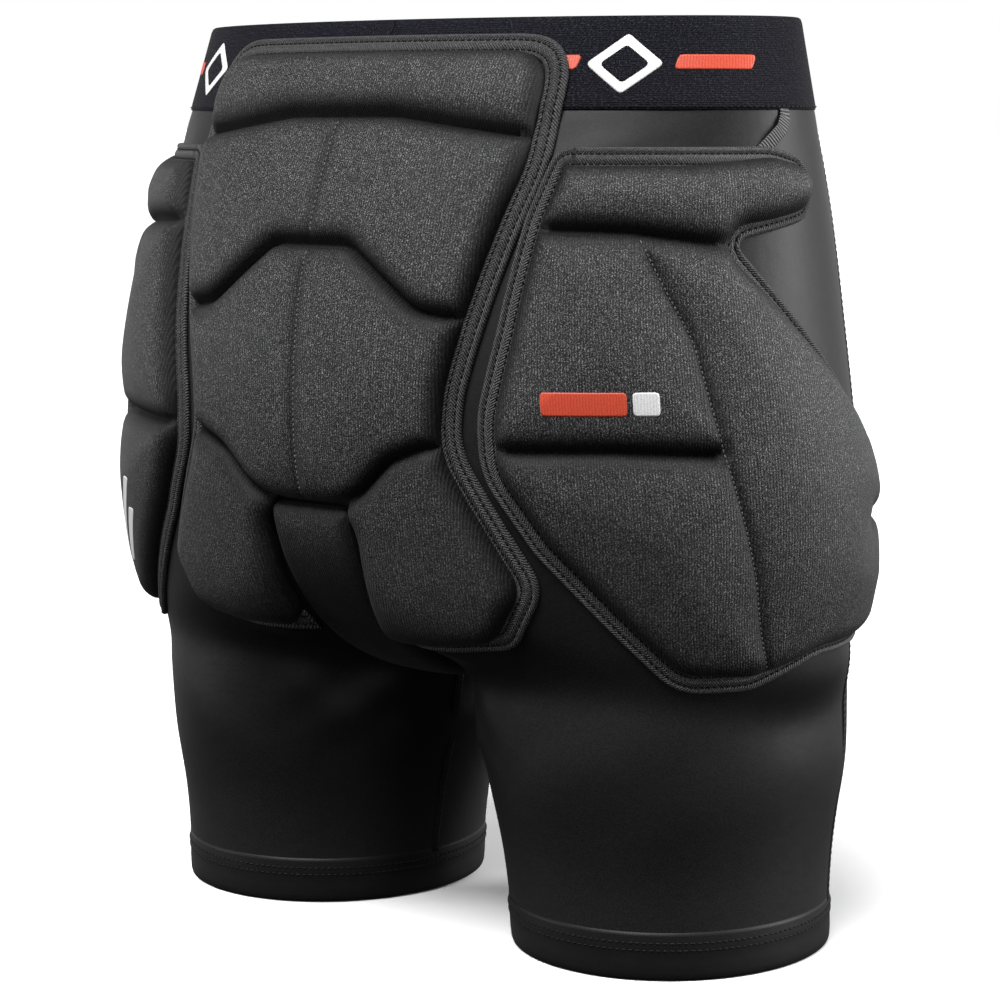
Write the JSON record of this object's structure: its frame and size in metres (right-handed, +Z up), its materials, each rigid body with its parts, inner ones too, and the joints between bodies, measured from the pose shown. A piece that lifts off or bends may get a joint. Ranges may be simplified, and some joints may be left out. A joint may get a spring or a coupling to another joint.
{
  "type": "padded impact shorts",
  "caption": "Close-fitting stretch shorts with a moulded foam tail pad, a hip pad on each side and a wide elastic waistband.",
  "frame": {"origin": "on the surface that the leg hems stand on, under the middle of the shorts with their pads", "axes": "+Z up, the wearer faces -Y, the wearer's right is -X"},
  "size_m": [0.4298, 0.2746, 0.44],
  "materials": {
    "shell_fabric": "smooth knitted lycra with a soft sheen",
    "waistband_elastic": "finely ribbed woven elastic, blue-black",
    "pad_cover": "heathered charcoal knit laminated to foam",
    "pad_lining": "plain black knit",
    "binding_tape": "black woven fold-over tape with two stitch rows",
    "foam": "closed-cell foam",
    "tether_elastic": "ribbed flat elastic",
    "thread": "polyester thread",
    "print_orange": "flat transfer print",
    "print_white": "flat transfer print"
  },
  "bodies": {
    "garment": {"back_panel_right": "shell_fabric", "back_panel_left": "shell_fabric", "front_panel_right": "shell_fabric", "front_panel_left": "shell_fabric", "crotch_gusset": "shell_fabric", "leg_cuff_right": "shell_fabric", "leg_cuff_left": "shell_fabric", "waistband": "waistband_elastic", "waistband_join": "waistband_elastic", "tail_backing": "pad_lining", "hip_backing_right": "pad_lining", "hip_backing_left": "pad_lining", "tongue_backing": "pad_lining", "tail_cover": "pad_cover", "hip_cover_right": "pad_cover", "hip_cover_left": "pad_cover", "tongue_cover": "pad_cover", "tail_binding_right": "binding_tape", "tail_binding_left": "binding_tape", "hip_binding_right": "binding_tape", "hip_binding_left": "binding_tape", "tail_foam_upper_right": "foam", "tail_foam_upper_left": "foam", "tail_foam_middle_right": "foam", "tail_foam_middle_left": "foam", "tail_foam_lobe_right": "foam", "tail_foam_lobe_left": "foam", "tail_foam_tongue": "foam", "hip_foam_rear_upper_right": "foam", "hip_foam_rear_upper_left": "foam", "hip_foam_rear_lower_right": "foam", "hip_foam_rear_lower_left": "foam", "hip_foam_front_upper_right": "foam", "hip_foam_front_upper_left": "foam", "hip_foam_front_lower_right": "foam", "hip_foam_front_lower_left": "foam", "hip_tether_right": "tether_elastic", "hip_tether_left": "tether_elastic"},
    "tail_flap": {"tail_flap_backing": "pad_lining", "tail_flap_cover": "pad_cover", "tail_flap_binding": "binding_tape", "tail_flap_foam": "foam"},
    "hip_lobe_right": {"hip_lobe_backing_right": "pad_lining", "hip_lobe_cover_right": "pad_cover", "hip_lobe_binding_right": "binding_tape", "hip_lobe_foam_right": "foam"},
    "hip_lobe_left": {"hip_lobe_backing_left": "pad_lining", "hip_lobe_cover_left": "pad_cover", "hip_lobe_binding_left": "binding_tape", "hip_lobe_foam_left": "foam"}
  },
  "joints": [
    {"name": "tail_flap_fold", "type": "hinge", "parent": "garment", "child": "tail_flap", "pos_m": [0, 0.09154, 0.389], "axis": [-1, 0, 0], "range_deg": [0, 30], "stiffness_Nm_per_rad": 0.06, "springref_deg": -8.59},
    {"name": "hip_lobe_right_fold", "type": "hinge", "parent": "garment", "child": "hip_lobe_right", "pos_m": [-0.15, 0.0691, 0.343], "axis": [-0.7314, -0.682, 0], "range_deg": [0, 20], "stiffness_Nm_per_rad": 0.06, "springref_deg": -8.59},
    {"name": "hip_lobe_left_fold", "type": "hinge", "parent": "garment", "child": "hip_lobe_left", "pos_m": [0.15, 0.0691, 0.343], "axis": [-0.7314, 0.682, 0], "range_deg": [0, 20], "stiffness_Nm_per_rad": 0.06, "springref_deg": -8.59}
  ]
}
